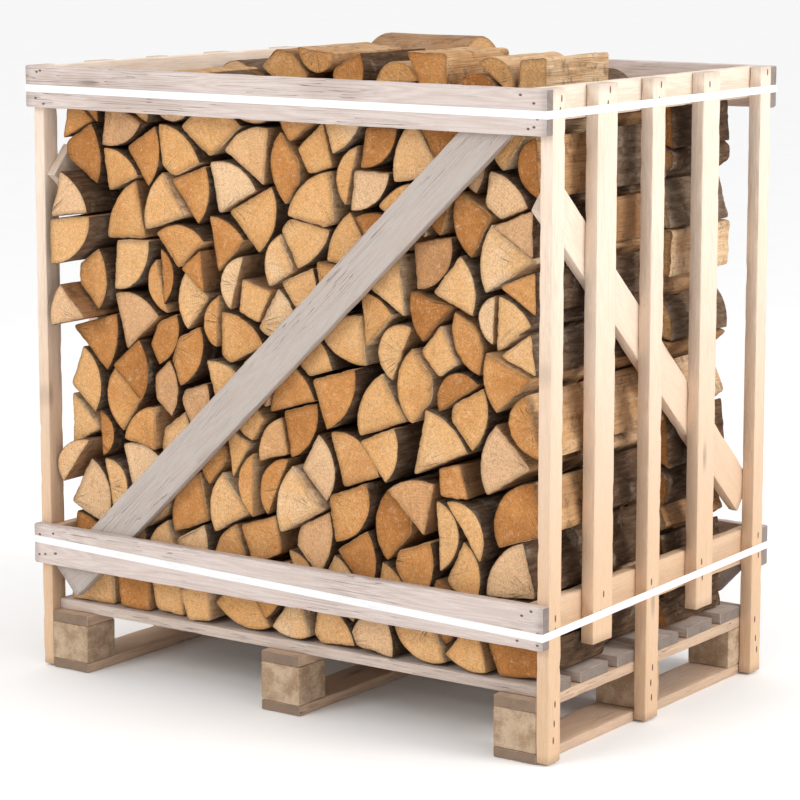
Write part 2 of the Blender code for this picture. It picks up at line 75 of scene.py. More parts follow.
STACK_NODES = sorted(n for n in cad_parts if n.startswith("log_layer"))
HEAP_NODES = sorted(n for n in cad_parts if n.startswith("log_heap"))


# ---------------------------------------------------------------- shader writing

class Value:
    """A shader socket that takes part in Python arithmetic."""

    def __init__(self, shader, socket):
        self.shader = shader
        self.socket = socket

    def maths(self, operation, *values):
        return self.shader.node("ShaderNodeMath", {"operation": operation}, dict(enumerate(values)))

    def __add__(self, other):
        return self.maths("ADD", self, other)

    __radd__ = __add__

    def __sub__(self, other):
        return self.maths("SUBTRACT", self, other)

    def __rsub__(self, other):
        return self.maths("SUBTRACT", other, self)

    def __mul__(self, other):
        return self.maths("MULTIPLY", self, other)

    __rmul__ = __mul__

    def __pow__(self, other):
        return self.maths("POWER", self, other)

    def sine(self):
        return self.maths("SINE", self)

    def size(self):
        return self.maths("ABSOLUTE", self)

    def rise(self, low, high):
        """0 below low, 1 above high and smooth between them; falls where low is the larger."""
        return self.shader.node("ShaderNodeMapRange", {"interpolation_type": "SMOOTHSTEP"},
                                {"Value": self, "From Min": low, "From Max": high})


class Shader:
    """The node tree of one finish."""

    def __init__(self, name):
        self.material = bpy.data.materials.new(name)
        self.material.use_nodes = True
        self.tree = self.material.node_tree
        self.surface = self.tree.nodes["Principled BSDF"]

    def node(self, kind, settings, inputs, output=0):
        """One node: its settings first, then the values or links of its sockets."""
        made = self.tree.nodes.new(kind)
        for key, value in settings.items():
            if key == "stops":
                ramp = made.color_ramp
                while len(ramp.elements) < len(value):
                    ramp.elements.new(1.0)
                for element, (position, colour) in zip(ramp.elements, value):
                    element.position = position
                    element.color = (*colour, 1.0)
            else:
                setattr(made, key, value)
        for key, value in inputs.items():
            if isinstance(value, Value):
                self.tree.links.new(value.socket, made.inputs[key])
            else:
                made.inputs[key].default_value = value
        return Value(self, made.outputs[output])

    def attribute(self, name, output="Vector"):
        return self.node("ShaderNodeAttribute", {"attribute_name": name}, {}, output)

    def split(self, vector):
        """The three parts of a vector."""
        first = self.node("ShaderNodeSeparateXYZ", {}, {0: vector})
        outputs = first.socket.node.outputs
        return [Value(self, outputs[k]) for k in range(3)]

    def joined(self, x, y, z):
        return self.node("ShaderNodeCombineXYZ", {}, {0: x, 1: y, 2: z})

    def scaled(self, vector, factors):
        return self.node("ShaderNodeVectorMath", {"operation": "MULTIPLY"}, {0: vector, 1: factors})

    def moved(self, vector, step):
        return self.node("ShaderNodeVectorMath", {"operation": "ADD"}, {0: vector, 1: step})

    def noise(self, place, scale, detail=2.0, roughness=0.5):
        return self.node("ShaderNodeTexNoise", {}, {"Vector": place, "Scale": scale, "Detail": detail,
                                                   "Roughness": roughness})

    def drawn(self, place, factors, detail, roughness):
        """Noise drawn out along the axes with small factors."""
        return self.noise(self.scaled(place, factors), 1.0, detail, roughness)

    def piece_place(self):
        """Coordinates in metres in the frame of the piece."""
        return self.node("ShaderNodeTexCoord", {}, {}, "Object")

    def cells(self, place, scale, feature="F1"):
        return self.node("ShaderNodeTexVoronoi", {"feature": feature}, {"Vector": place, "Scale": scale})

    def mixed(self, factor, first, second):
        """A colour between two colours."""
        return self.node("ShaderNodeMix", {"data_type": "RGBA"},
                         {0: factor, 6: solid(first), 7: solid(second)}, 2)

    def shaded(self, colour, amount):
        """A colour made darker or lighter by a grey amount."""
        return self.node("ShaderNodeMix", {"data_type": "RGBA", "blend_type": "MULTIPLY"},
                         {0: 1.0, 6: solid(colour), 7: self.joined(amount, amount, amount)}, 2)

    def ramp(self, value, stops):
        return self.node("ShaderNodeValToRGB", {"stops": stops}, {0: value})

    def finished(self, colour, roughness, height, distance, specular=0.25):
        """Connect the surface and give back the material."""
        normal = self.node("ShaderNodeBump", {}, {"Height": height, "Distance": distance, "Strength": 1.0})
        for name, value in (("Base Color", colour), ("Roughness", roughness), ("Normal", normal)):
            if isinstance(value, Value):
                self.tree.links.new(value.socket, self.surface.inputs[name])
            else:
                self.surface.inputs[name].default_value = value
        self.surface.inputs["Specular IOR Level"].default_value = specular
        return self.material


def solid(colour):
    """A colour with its alpha, or a link as it is."""
    return colour if isinstance(colour, Value) else (*tuple(colour)[:3], 1.0)


# ---------------------------------------------------------------- finishes

def log_place(shader):
    """Coordinates about the pith, the same moved apart for each log, and the log's three random tones."""
    grain = shader.attribute("grain")
    tone = shader.attribute("tone")
    return grain, shader.moved(grain, shader.scaled(tone, (9.0, 7.0, 8.0))), shader.split(tone)


def log_end_finish(settings):
    """Sawn end grain: rings, rays, checks, saw marks, a speckle of torn fibres and painted shade round its
    edge.
    """
    shader = Shader("log_end_grain")
    grain, place, (tone, warmth, _) = log_place(shader)
    x, _, z = shader.split(grain)
    radius = (x * x + z * z) ** 0.5
    angle = shader.node("ShaderNodeMath", {"operation": "ARCTAN2"}, {0: z, 1: x})
    patches = shader.noise(place, 16.0, 3.0, 0.55)
    blotches = shader.noise(place, 62.0, 3.0, 0.6)
    speckle = shader.noise(place, 230.0, 4.0, 0.80)
    grit = shader.noise(place, 620.0, 3.0, 0.85)
    fluff = shader.noise(place, 130.0, 4.0, 0.75)
    rings = (radius * 1150.0 + blotches * 5.0).sine() * 0.5 + 0.5
    rays = shader.noise(shader.joined(angle * 26.0, radius * 9.0, warmth * 40.0), 1.0, 3.0, 0.6)
    cracks = shader.noise(shader.joined(angle * 5.0, radius * 4.0, tone * 60.0), 1.0, 1.0, 0.4)
    crack = (cracks - 0.5).size().rise(0.012, 0.0) * radius.rise(0.075, 0.02) * patches.rise(0.42, 0.6)
    saw = shader.drawn(place, (90.0, 0.0, 700.0), 2.0, 0.5)
    level = tone * 0.80 + patches * 0.55 - 0.20
    colour = shader.ramp(level, [
        (0.00, settings.end_dark), (0.28, settings.end_brown), (0.55, settings.end_orange),
        (0.82, settings.end_tan), (1.00, settings.end_cream)])
    colour = shader.mixed(warmth.rise(0.84, 0.94) * 0.60, colour, settings.end_cream)
    colour = shader.mixed(blotches.rise(0.55, 0.75) * 0.25, colour, settings.end_cream)
    colour = shader.mixed(fluff.rise(0.56, 0.70) * 0.45, colour, settings.end_cream)
    colour = shader.mixed(fluff.rise(0.44, 0.32) * 0.45, colour, settings.end_dark)
    # rim is 0 at the edge of each sawn end and 1 further in: the end is painted up to 45% darker towards its
    # edge, painted shade where it rounds off into the gaps between logs
    rim = shader.attribute("rim", "Fac")
    light = 1.0 + (speckle - 0.5) * 1.25 + (rings - 0.5) * 0.08 + (rays - 0.5) * 0.35 + (grit - 0.5) * 1.1
    light = light * (1.0 - crack * 0.65) * (0.55 + rim.rise(0.0, 0.9) * 0.45)
    colour = shader.shaded(colour, light)
    height = speckle + grit * 0.5 + fluff * 0.8 + rings * 0.08 + saw * 0.30 - crack + rays * 0.3
    return shader.finished(colour, 0.92, height, 0.0032, 0.10)


def log_split_finish(settings):
    """The split side of a log: long torn fibres, pale with orange streaks."""
    shader = Shader("log_split_face")
    _, place, (tone, warmth, _) = log_place(shader)
    fibres = shader.drawn(place, (520.0, 16.0, 520.0), 3.0, 0.65)
    strands = shader.drawn(place, (120.0, 5.0, 120.0), 3.0, 0.6)
    patches = shader.noise(place, 18.0, 3.0, 0.5)
    level = tone * 0.35 + patches * 0.45 + strands * 0.45 - 0.12
    colour = shader.ramp(level, [
        (0.10, settings.split_brown), (0.45, settings.split_tan), (0.75, settings.split_cream),
        (1.00, settings.split_cream)])
    colour = shader.mixed(warmth.rise(0.45, 0.75) * 0.7, colour, settings.split_brown)
    mould = shader.noise(place, 34.0, 4.0, 0.7)
    colour = shader.mixed(mould.rise(0.50, 0.66) * 0.55, colour, settings.bark_brown)
    colour = shader.shaded(colour, 0.42 + fibres * 1.05)
    return shader.finished(colour, 0.88, fibres * 0.8 + strands * 1.4, 0.0050, 0.12)


def bark_finish(settings):
    """Ridged grey-brown bark with pale lichen."""
    shader = Shader("bark")
    _, place, (tone, _, _) = log_place(shader)
    stretched = shader.scaled(place, (85.0, 17.0, 85.0))
    plates = shader.cells(stretched, 1.0, "DISTANCE_TO_EDGE")
    ridges = shader.noise(stretched, 1.0, 4.0, 0.65)
    fine = shader.drawn(place, (420.0, 60.0, 420.0), 4.0, 0.75)
    patches = shader.noise(place, 22.0, 3.0, 0.6)
    colour = shader.ramp(ridges * 0.8 + tone * 0.3 - 0.05, [
        (0.15, settings.bark_dark), (0.50, settings.bark_brown), (0.85, settings.bark_grey)])
    colour = shader.mixed(patches.rise(0.58, 0.68) * 0.6, colour, settings.bark_lichen)
    light = (0.78 + plates.rise(0.0, 0.12) * 0.22) * (0.45 + fine * 1.1)
    colour = shader.shaded(colour, light)
    height = plates.rise(0.0, 0.25) * 0.35 + ridges * 0.9 + fine * 0.5
    return shader.finished(colour, 0.95, height, 0.0045, 0.1)


def board_finish(name, faces, streak, stain, age):
    """Sawn softwood along its grain: streaks, knots, stains, saw marks and, with age, checks.

    The two faces are the colours it is given high up and near the floor, so it is darker and more orange
    towards the floor.
    """
    shader = Shader(name)
    height = shader.split(shader.piece_place())[2]
    face = shader.mixed(height.rise(1.10, 0.15) * 0.80, *faces)
    grain = shader.attribute("grain")
    along = shader.split(grain)[0]
    long_fibre = shader.drawn(grain, (9.0, 330.0, 330.0), 4.0, 0.65)
    bands = shader.drawn(grain, (1.6, 46.0, 46.0), 2.0, 0.5)
    patches = shader.drawn(grain, (3.0, 9.0, 9.0), 3.0, 0.6)
    fine = shader.drawn(grain, (70.0, 900.0, 900.0), 2.0, 0.7)
    knot_cells = shader.cells(shader.scaled(grain, (3.1, 11.0, 0.0)), 1.0)
    knot = knot_cells.rise(0.15, 0.05)
    halo = knot_cells.rise(0.34, 0.10)
    rings = (bands * 46.0 + knot_cells * 34.0 + long_fibre * 2.0).sine() * 0.5 + 0.5
    colour = shader.mixed(rings * 0.30 + long_fibre.rise(0.45, 0.75) * 0.30, face, streak)
    colour = shader.mixed(patches.rise(0.52, 0.72) * (0.30 + age * 0.30), colour, stain)
    colour = shader.mixed(halo * 0.35, colour, streak)
    colour = shader.mixed(knot * 0.80, colour, shader.shaded(solid(streak), 0.38 + fine * 0.2))
    checks = shader.drawn(grain, (4.0, 260.0, 260.0), 1.0, 0.3)
    check = (checks - 0.5).size().rise(0.010, 0.0) * patches.rise(0.40, 0.55) * age
    end = shader.attribute("end", "Fac")
    light = (0.80 + fine * 0.24 + (long_fibre - 0.5) * 0.22) * (1.0 - check * 0.55)
    light = light * (0.78 + end.rise(0.0, 0.02) * 0.22)
    colour = shader.shaded(colour, light)
    saw = (along * 1500.0 + patches * 9.0).sine() * 0.06
    height = long_fibre * 0.8 + fine * 0.3 + rings * 0.12 + saw - check - knot * 0.4
    return shader.finished(colour, 0.80, height, 0.0010, 0.25)


def end_grain_finish(name, face, dark):
    """The sawn end of a timber."""
    shader = Shader(name)
    grain = shader.attribute("grain")
    _, across, through = shader.split(grain)
    wander = shader.noise(grain, 30.0, 2.0, 0.5)
    rings = ((across * 0.5 + through) * 1300.0 + wander * 14.0).sine() * 0.5 + 0.5
    speckle = shader.noise(grain, 620.0, 3.0, 0.75)
    patches = shader.noise(grain, 34.0, 3.0, 0.6)
    colour = shader.mixed(rings * 0.35 + patches.rise(0.4, 0.7) * 0.45, face, dark)
    colour = shader.shaded(colour, 0.55 + speckle * 0.75)
    return shader.finished(colour, 0.92, speckle + rings * 0.2, 0.0012, 0.15)


def block_finish(settings):
    """Rough sawn pallet block, brown with torn fibres and dirt."""
    shader = Shader("pallet_block")
    grain = shader.attribute("grain")
    fibres = shader.drawn(grain, (30.0, 240.0, 240.0), 4.0, 0.7)
    speckle = shader.noise(grain, 480.0, 3.0, 0.8)
    patches = shader.noise(grain, 26.0, 4.0, 0.65)
    chips = shader.cells(shader.scaled(grain, (90.0, 210.0, 210.0)), 1.0)
    colour = shader.mixed(patches.rise(0.35, 0.65), settings.block_face, settings.block_dark)
    colour = shader.mixed(chips.rise(0.60, 0.85) * 0.25, colour, settings.block_pale)
    colour = shader.shaded(colour, 0.62 + speckle * 0.35 + fibres * 0.40)
    return shader.finished(colour, 0.93, fibres + speckle * 0.6 + chips * 0.5, 0.0022, 0.12)


def strap_finish(settings):
    """White polypropylene strap with a fine pressed waffle."""
    shader = Shader("strap_white")
    place = shader.piece_place()
    x, y, z = shader.split(place)
    waffle = ((x + y) * 2600.0).sine() * (z * 2600.0).sine()
    dust = shader.drawn(place, (14.0, 14.0, 60.0), 3.0, 0.6)
    colour = shader.mixed(dust.rise(0.5, 0.8) * 0.5, settings.strap_colour, settings.strap_dust)
    return shader.finished(colour, 0.35 + dust * 0.2, waffle, 0.00020, 0.5)


def nail_finish(settings):
    """Dull steel nail head, browned at its rim."""
    shader = Shader("nail_steel")
    place = shader.piece_place()
    rust = shader.noise(place, 700.0, 3.0, 0.7)
    colour = shader.mixed(rust.rise(0.4, 0.6), settings.nail_steel, settings.nail_rust)
    shader.surface.inputs["Metallic"].default_value = 0.4
    return shader.finished(colour, 0.45 + rust * 0.3, rust, 0.0004, 0.4)


def dent_finish(settings):
    """Wood bruised dark and wet-stained round a nail."""
    shader = Shader("nail_bruise")
    place = shader.piece_place()
    fibres = shader.noise(place, 420.0, 3.0, 0.7)
    colour = shader.mixed(fibres, settings.bruise, settings.nail_rust)
    return shader.finished(colour, 0.9, fibres, 0.0006, 0.1)


def floor_finish(settings):
    """Pale matt studio floor with the faintest mottle."""
    shader = Shader("studio_floor")
    place = shader.piece_place()
    mottle = shader.noise(place, 3.0, 2.0, 0.5)
    colour = shader.shaded(solid(settings.floor_colour), 0.985 + mottle * 0.03)
    return shader.finished(colour, 0.9, mottle, 0.0002, 0.1)


# ---------------------------------------------------------------- mesh writing

class Fabric:
    """Vertices, faces and their attributes, gathered before they become one mesh."""

    def __init__(self):
        self.points = []
        self.faces = []
        self.finishes = []
        self.layers = {"grain": [], "tone": [], "rim": [], "end": []}
        self.count = 0

    def add(self, points, **layers):
        """Rows of vertices with their attributes; returns the number of the first."""
        first = self.count
        points = np.asarray(points, float).reshape(-1, 3)
        self.points.append(points)
        self.count += len(points)
        for name, values in layers.items():
            self.layers[name].append(np.asarray(values, float))
        return first

    def band(self, first, second, size, finishes):
        """Quads between two closed loops of the same size; finishes gives the material of each quad."""
        for k in range(size):
            after = (k + 1) % size
            self.faces.append((first + k, second + k, second + after, first + after))
            self.finishes.append(finishes[k])

    def fan(self, loop, centre, size, finish, outward):
        """Triangles from a closed loop to one point."""
        for k in range(size):
            after = (k + 1) % size
            corners = (loop + k, loop + after, centre) if outward else (loop + after, loop + k, centre)
            self.faces.append(corners)
            self.finishes.append(finish)

    def build(self, name, materials, sharp=math.radians(38.0)):
        """The finished mesh object, smooth apart from its sharp edges."""
        mesh = bpy.data.meshes.new(name)
        mesh.from_pydata(np.concatenate(self.points).tolist(), [], self.faces)
        for material in materials:
            mesh.materials.append(material)
        mesh.polygons.foreach_set("material_index", self.finishes)
        for layer, parts in self.layers.items():
            if parts:
                values = np.concatenate(parts)
                kind = "FLOAT_VECTOR" if values.ndim == 2 else "FLOAT"
                attribute = mesh.attributes.new(layer, kind, "POINT")
                attribute.data.foreach_set("vector" if values.ndim == 2 else "value",
                                           values.astype(np.float32).ravel())
        mesh.shade_smooth()
        mesh.set_sharp_from_angle(angle=sharp)
        thing = bpy.data.objects.new(name, mesh)
        bpy.context.scene.collection.objects.link(thing)
        return thing


def waves(rng, count, low, high):
    """A smooth random curve of 0 to 1: the sum of a few sines; low and high are its wavelengths."""
    parts = [(2 * math.pi / rng.uniform(low, high), rng.uniform(0, 2 * math.pi)) for _ in range(count)]

    def curve(t):
        return 0.5 + sum(np.sin(t * frequency + phase) for frequency, phase in parts) / (2 * count)

    return curve


def fix(piece, slot, *nodes):
    """The piece rides on the crate and stands for its solids."""
    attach(piece, ROOT)
    if nodes:
        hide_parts(*nodes)
    return piece


# ---------------------------------------------------------------- timber

TIMBER_STEP = 0.018          # between two stations along a timber
TIMBER_SIDE_STEP = 0.014     # between two points across it
EDGE_RADIUS = 0.0020
END_BEVEL = 0.0015
FACE_DIP = 0.0004            # how uneven a face is
CHIP_RARITY = 0.60           # an edge is chipped where its curve is above this
CHIP_DEPTH = 0.009
GRAIN_SPREAD = 40.0          # the grain of each timber starts up to this far away


def timber_axes(node, along=None):
    """A timber's corner and its three edges from there, longest first."""
    points = np.unique(np.round([v.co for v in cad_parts[node].data.vertices], 6), axis=0)
    corner = points[0]
    arms = points - corner
    arms = arms[np.argsort(np.linalg.norm(arms, axis=1))][1:]
    first, second = arms[0], arms[1]
    third = next(arm for arm in arms[2:]
                 if abs(arm @ first) < 1e-6 and abs(arm @ second) < 1e-6)
    edges = sorted((first, second, third), key=lambda edge: -np.linalg.norm(edge))
    if along is not None:
        edges.sort(key=lambda edge: -abs(edge[along]) / np.linalg.norm(edge))
    return corner, edges


def timber_section(width, thickness, radius):
    """Points round a section with rounded corners, and how near each is to a corner."""
    points, worn = [], []
    corners = ((0.0, 0.0, -1, -1), (width, 0.0, 1, -1), (width, thickness, 1, 1), (0.0, thickness, -1, 1))
    for number, (x, y, sx, sy) in enumerate(corners):
        for step in range(3):
            turn = math.atan2(sy, sx) + (step - 1) * math.pi / 4
            points.append((x + radius * (math.cos(turn) - sx), y + radius * (math.sin(turn) - sy)))
            worn.append(1.0 if step == 1 else 0.6)
        after = corners[(number + 1) % 4]
        start = points[-1]
        side = width if number % 2 == 0 else thickness
        steps = max(1, round(side / TIMBER_SIDE_STEP))
        run = side - 2 * radius
        direction = np.sign((after[0] - x, after[1] - y))
        for step in range(1, steps):
            points.append(tuple(start + direction * run * step / steps))
            worn.append(0.0)
    return np.array(points), np.array(worn)


def timber(node, slot, materials, wear, along=None):
    """A worn sawn timber in the place of its solid."""
    rng = random.Random(node)
    corner, edges = timber_axes(node, along)
    length, width, thickness = (float(np.linalg.norm(edge)) for edge in edges)
    axes = [edge / np.linalg.norm(edge) for edge in edges]
    if np.dot(np.cross(axes[0], axes[1]), axes[2]) < 0:
        corner = corner + edges[2]
        axes[2] = -axes[2]
    section, worn = timber_section(width, thickness, EDGE_RADIUS)
    middle = np.array((width / 2, thickness / 2))
    inward = middle - section
    inward /= np.linalg.norm(inward, axis=1)[:, None]
    size = len(section)
    count = max(3, round(length / TIMBER_STEP))
    stations = [0.0, END_BEVEL] + [END_BEVEL + (length - 2 * END_BEVEL) * k / count for k in range(1, count)]
    stations += [length - END_BEVEL, length]
    face_waves = [waves(rng, 3, 0.12, 0.5) for _ in range(size)]
    edge_waves = [waves(rng, 5, 0.025, 0.16) for _ in range(4)]
    quarter = (np.arange(size) * 4 // size)
    offset = np.array([rng.uniform(-GRAIN_SPREAD, GRAIN_SPREAD) for _ in range(3)])
    fabric = Fabric()
    loops = []
    for number, along_place in enumerate(stations):
        at_end = number in (0, len(stations) - 1)
        dip = np.array([face_waves[k](along_place) for k in range(size)]) * FACE_DIP
        chip = np.array([max(0.0, edge_waves[quarter[k]](along_place) - CHIP_RARITY) for k in range(size)])
        shrink = dip + worn * chip * CHIP_DEPTH * wear + (END_BEVEL * 0.8 if at_end else 0.0)
        ring = section + inward * shrink[:, None]
        points = corner + along_place * axes[0] + ring[:, :1] * axes[1] + ring[:, 1:] * axes[2]
        grain = np.column_stack((np.full(size, along_place), ring)) + offset
        near_end = min(along_place, length - along_place)
        loops.append(fabric.add(points, grain=grain, end=np.full(size, near_end)))
    for first, second in zip(loops, loops[1:]):
        fabric.band(first, second, size, [0] * size)
    for loop, place, outward in ((loops[0], 0.0, False), (loops[-1], length, True)):
        centre = corner + place * axes[0] + middle[0] * axes[1] + middle[1] * axes[2]
        point = fabric.add([centre], grain=[(place, *middle) + offset], end=[0.0])
        fabric.fan(loop, point, size, 1, outward)
    piece = fabric.build(node + "_timber", materials)
    flip_outward(piece)
    return fix(piece, slot, node)


def flip_outward(piece):
    """Turn every face out if the closed mesh is inside out."""
    mesh = piece.data
    mesh.calc_loop_triangles()
    points = np.array([v.co for v in mesh.vertices])
    corners = points[np.array([t.vertices for t in mesh.loop_triangles])]
    volume = np.einsum("ij,ij->i", corners[:, 0], np.cross(corners[:, 1], corners[:, 2])).sum()
    if volume < 0:
        mesh.flip_normals()


# ---------------------------------------------------------------- nails

NAIL_RADIUS = 0.0016
NAIL_DOME = 0.0005
DENT_LONG = 0.0070           # half a bruise along the grain of a post or slat
DENT_WIDE = 0.0024
DENT_DOME = 0.00025
DOT_LONG = 0.0034            # half a bruise along the grain of a long board
NAIL_ROOT = 0.0010           # how far a disc goes into the wood
BOARD_NAILS = (0.021, 0.048)             # from the end of a long board
BOARD_NAIL_SHARES = (0.20, 0.36, 0.80)   # up its height
RAIL_NAIL_SHARES = (0.28, 0.75)          # up a rail
FOOT_NAILS = (0.045, 0.075, 0.112)       # above the floor, on an upright that reaches it


def disc(fabric, centre, out, along, long, wide, rise, steps=14):
    """A low dome, longer one way than the other, on a face that looks out."""
    centre, out, along = (np.array(v, float) for v in (centre, out, along))
    across = np.cross(out, along)
    turns = np.linspace(0.0, 2 * math.pi, steps, endpoint=False)
    loops = []
    for share, height in ((1.0, -NAIL_ROOT), (1.0, 0.0), (0.55, rise * 0.8)):
        ring = [along * long * math.cos(t) + across * wide * math.sin(t) for t in turns]
        loops.append(fabric.add([centre + out * height + share * arm for arm in ring]))
    top = fabric.add([centre + out * rise])
    base = fabric.add([centre - out * NAIL_ROOT])
    for first, second in zip(loops, loops[1:]):
        fabric.band(first, second, steps, [0] * steps)
    fabric.fan(loops[-1], top, steps, 0, True)
    fabric.fan(loops[0], base, steps, 0, False)


def nail_places():
    """Where the crate is nailed: (point on the face, outward, along the grain)."""
    rng = random.Random(5)
    places = []

    def wobble(reach):
        return rng.uniform(-reach, reach)

    for side, sign in (("front", -1.0), ("back", 1.0)):
        for board in ("top_board", "bottom_board"):
            low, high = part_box("%s_%s" % (side, board))
            face = low.y if sign < 0 else high.y
            for end in [low.x + d for d in BOARD_NAILS] + [high.x - d for d in BOARD_NAILS]:
                for share in BOARD_NAIL_SHARES:
                    height = low.z + (high.z - low.z) * share + wobble(0.009)
                    places.append(((end + wobble(0.011), face, height), (0.0, sign, 0.0), (1.0, 0.0, 0.0)))
    for side, sign in (("left", -1.0), ("right", 1.0)):
        for upright in ("front_post", "rear_post", "front_slat", "middle_slat", "rear_slat"):
            low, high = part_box("%s_%s" % (side, upright))
            face = low.x if sign < 0 else high.x
            for rail in ("top_rail", "bottom_rail"):
                rail_low, rail_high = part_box("%s_%s" % (side, rail))
                for share in RAIL_NAIL_SHARES:
                    height = rail_low.z + (rail_high.z - rail_low.z) * share + wobble(0.008)
                    y = low.y + (high.y - low.y) * rng.uniform(0.3, 0.7)
                    places.append(((face, y, height), (sign, 0.0, 0.0), (0.0, 0.0, 1.0)))
            if low.z < 0.02:
                for height in FOOT_NAILS:
                    y = low.y + (high.y - low.y) * rng.uniform(0.35, 0.65)
                    places.append(((face, y, height + wobble(0.006)), (sign, 0.0, 0.0), (0.0, 0.0, 1.0)))
    return places


# ---------------------------------------------------------------- logs

LOOP_STEP = 0.0065           # between two points of a log's outline
BARK_ROUNDS = 14             # passes that round the bark
CORNER_ROUNDS = 3            # passes that round the split corners
OUTLINE_SWELL = 0.0015       # a log is this much fuller than its solid
SIDE_LOGS = 0.50             # logs further out than this lie at the short sides
SIDE_BARK = 0.66             # share of them that lie bark out
SIDE_STRETCH = 0.075         # the outermost logs may widen this much
SIDE_SPREAD = 0.020          # how far a front log may lie out between the rails, up to the posts
EVENNESS = 0.5               # share of the solids' unevenness that the log ends keep
PROUD_LEAST, PROUD_MOST = 0.012, 0.050   # how far the logs at the left end stand out before the front brace
PROUD_NARROW = 0.8           # share of the most that they stand out at least where the side brace is
BRACE_SPAN = 0.34            # height that a side brace takes up beside the front row
BRACE_ROOM = 0.006           # between the front brace and a log that stands out above it
BOARD_ROOM = 0.004           # between a long board and a log that stands out below it
RAIL_ROOM = 0.001            # between a rail and a log
SAME_PLACE = 0.002           # a log lies further out if its middle is this much further out
SAME_HEIGHT = 0.022          # two logs lie at the same height if they share this much of it
BARK_DIPS, SPLIT_DIPS = (0.0012, 0.0012), (0.0024, 0.0022)   # dips in the outline, long and short
BARK_ROUGH, SPLIT_ROUGH = 0.0042, 0.0016                     # dips along a log
END_ROUND = 0.0016           # an end's edge is worn this much
END_HOLLOW = 0.0022          # dents in an end
END_DOME = 0.0008
END_RINGS = (0.94, 0.66, 0.34)
FINE_SHARES = (0.0, 0.008, 0.05, 0.14, 0.27, 0.40, 0.53, 0.66, 0.79, 0.90, 0.992, 1.0)
COARSE_SHARES = (0.0, 0.01, 0.35, 0.65, 0.99, 1.0)
PITH_FURTHEST = 0.16         # from the middle of a log
PITH_ASIDE = 0.09            # in a log with no bark
END_GRAIN, SPLIT_FACE, BARK = 0, 1, 2


def end_outlines(node, front, reach):
    """Each log end that faces the front: its corners in X and Z, anticlockwise from the front, and its Y."""
    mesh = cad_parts[node].data
    mesh.calc_loop_triangles()
    edges = {}
    for triangle in mesh.loop_triangles:
        if triangle.normal.y > -0.99:
            continue
        corners = [tuple(round(c, 5) for c in mesh.vertices[k].co) for k in triangle.vertices]
        if corners[0][1] > front + reach:
            continue
        for k in range(3):
            edge = (corners[k], corners[(k + 1) % 3])
            if edge[::-1] in edges:
                del edges[edge[::-1]]
            else:
                edges[edge] = True
    follow = {start: end for start, end in edges}
    outlines = []
    while follow:
        start, here = next(iter(follow.items()))
        outline = [start]
        del follow[start]
        while here != start:
            outline.append(here)
            here = follow.pop(here)
        points = np.array(outline)
        corners = points[:, (0, 2)]
        if signed_area(corners) < 0:
            corners = corners[::-1]
        outlines.append((corners, float(points[:, 1].min())))
    outlines.sort(key=lambda one: tuple(one[0].mean(axis=0)))
    return outlines


def signed_area(corners):
    after = np.roll(corners, -1, axis=0)
    return float((corners[:, 0] * after[:, 1] - after[:, 0] * corners[:, 1]).sum() / 2)


def log_loop(corners, rng, step):
    """A fine outline with rounded bark and torn split edges, which side each stretch is, and the pith."""
    before = corners - np.roll(corners, 1, axis=0)
    after = np.roll(corners, -1, axis=0) - corners
    turn = np.arctan2(before[:, 0] * after[:, 1] - before[:, 1] * after[:, 0], (before * after).sum(axis=1))
    gentle = np.abs(turn) < ROUND_TURN
    points, bark = [], []
    for k, (start, run) in enumerate(zip(corners, after)):
        steps = max(2, round(float(np.linalg.norm(run)) / step))
        is_bark = bool(gentle[k] or gentle[(k + 1) % len(corners)])
        for number in range(steps):
            points.append(start + run * number / steps)
            bark.append(is_bark)
    points, bark = np.array(points), np.array(bark)
    inside = bark & np.roll(bark, 1)
    for number in range(BARK_ROUNDS):
        smooth = (np.roll(points, 1, axis=0) + np.roll(points, -1, axis=0)) / 2
        share = np.where(inside, 0.5, 0.32 if number < CORNER_ROUNDS else 0.0)[:, None]
        points = points + (smooth - points) * share
    centre = corners.mean(axis=0)
    outward = points - centre
    outward /= np.linalg.norm(outward, axis=1)[:, None]
    reach = np.cumsum(np.linalg.norm(points - np.roll(points, 1, axis=0), axis=1))
    coarse, fine = waves(rng, 3, 0.03, 0.11), waves(rng, 5, 0.012, 0.030)
    dip = sum(np.where(bark, *depths) * curve(reach)
              for depths, curve in zip(zip(BARK_DIPS, SPLIT_DIPS), (coarse, fine)))
    points = points - outward * (dip - OUTLINE_SWELL)[:, None]
    if inside.any():
        span = points[inside]
        pith = circle_centre(span[0], span[len(span) // 2], span[-1]) if len(span) > 2 else centre
        if np.linalg.norm(pith - centre) > PITH_FURTHEST:
            pith = centre + (pith - centre) * PITH_FURTHEST / np.linalg.norm(pith - centre)
    else:
        away = rng.uniform(0.0, 2 * math.pi)
        pith = centre + PITH_ASIDE * np.array((math.cos(away), math.sin(away)))
    return points, bark, centre, pith


def circle_centre(a, b, c):
    """The centre of the circle through three points."""
    rows = np.array((b - a, c - a))
    values = np.array(((b @ b - a @ a) / 2, (c @ c - a @ a) / 2))
    if abs(np.linalg.det(rows)) < 1e-9:
        return (a + b + c) / 3
    return np.linalg.solve(rows, values)


